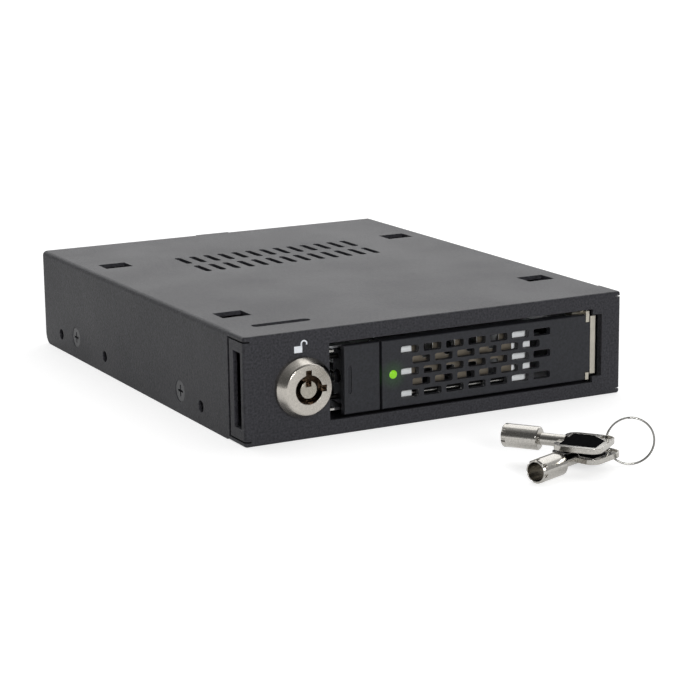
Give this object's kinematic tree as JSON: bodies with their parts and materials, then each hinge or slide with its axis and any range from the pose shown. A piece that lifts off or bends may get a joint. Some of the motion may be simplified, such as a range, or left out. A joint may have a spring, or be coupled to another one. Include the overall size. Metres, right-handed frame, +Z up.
{
  "type": "hot swap drive cage",
  "caption": "Low drive cage with perforated folded cover, front tube lock, push button and perforated lever on a sliding drive tray, with loose keys.",
  "frame": {"origin": "centre of the cage's footprint, on its underside", "axes": "+Z up, -Y out of the front face, +X to the right when the front is looked at"},
  "size_m": [0.1016, 0.1871, 0.0254],
  "materials": {
    "cover_paint": "fine satin powder coat",
    "plated_sheet": "plain zinc-plated sheet",
    "lever_steel": "satin plated",
    "dark_plastic": "matte moulded",
    "latch_plastic": "fine spark-eroded texture",
    "black_screw": "black oxide",
    "bright_steel": "bright nickel plate",
    "lock_nickel": "satin nickel plate",
    "circuit_board": "solder mask",
    "clear_plastic": "clear moulded",
    "lamp_green": "clear green",
    "key_inlay": "smooth"
  },
  "bodies": {
    "cage": {"outer_cover": "cover_paint", "bottom_chassis": "cover_paint", "left_rail": "dark_plastic", "right_rail": "dark_plastic", "rail_screws": "black_screw", "side_screws": "black_screw", "backplane_board": "circuit_board", "drive_socket": "dark_plastic", "data_port": "dark_plastic", "power_port": "dark_plastic", "board_screws": "bright_steel", "status_led": "lamp_green", "lock_housing": "lock_nickel", "lock_washer": "bright_steel", "lock_nut": "bright_steel"},
    "lock_rotor": {"lock_plug": "lock_nickel", "lock_cam": "bright_steel", "cam_screw": "bright_steel"},
    "tray": {"tray_frame": "plated_sheet", "latch_bracket": "plated_sheet", "guide_pins": "bright_steel", "latch_spring": "bright_steel", "hinge_pin": "bright_steel", "light_pipe": "clear_plastic"},
    "button": {"release_button": "latch_plastic"},
    "lever": {"lever_grille": "latch_plastic", "grille_screen": "plated_sheet", "lever_hook": "lever_steel", "status_lens": "lamp_green"},
    "keys": {"upper_key": "lock_nickel", "upper_key_inlay": "key_inlay", "lower_key": "lock_nickel", "lower_key_inlay": "key_inlay", "key_ring": "bright_steel"}
  },
  "joints": [
    {"name": "tray_slide", "type": "slide", "parent": "cage", "child": "tray", "axis": [0, -1, 0], "range_m": [0, 0.12]},
    {"name": "lever_swing", "type": "hinge", "parent": "tray", "child": "lever", "pos_m": [0.0402, -0.0589, 0.01225], "axis": [0, 0, 1], "range_deg": [0, 60]},
    {"name": "button_slide", "type": "slide", "parent": "tray", "child": "button", "axis": [-1, 0, 0], "range_m": [0, 0.0024], "stiffness_N_per_m": 200, "springref_m": -0.0005, "deforming": ["latch_spring"]},
    {"name": "lock_turn", "type": "hinge", "parent": "cage", "child": "lock_rotor", "pos_m": [-0.0363, -0.0635, 0.01245], "axis": [0, 1, 0], "range_deg": [0, 90]},
    {"name": "keys_lift", "type": "slide", "parent": "cage", "child": "keys", "axis": [0, 0, 1], "range_m": [0, 0.072]}
  ],
  "couplings": [
    {"joint": "keys_lift", "follows": "tray_slide", "ratio": 0.6}
  ]
}
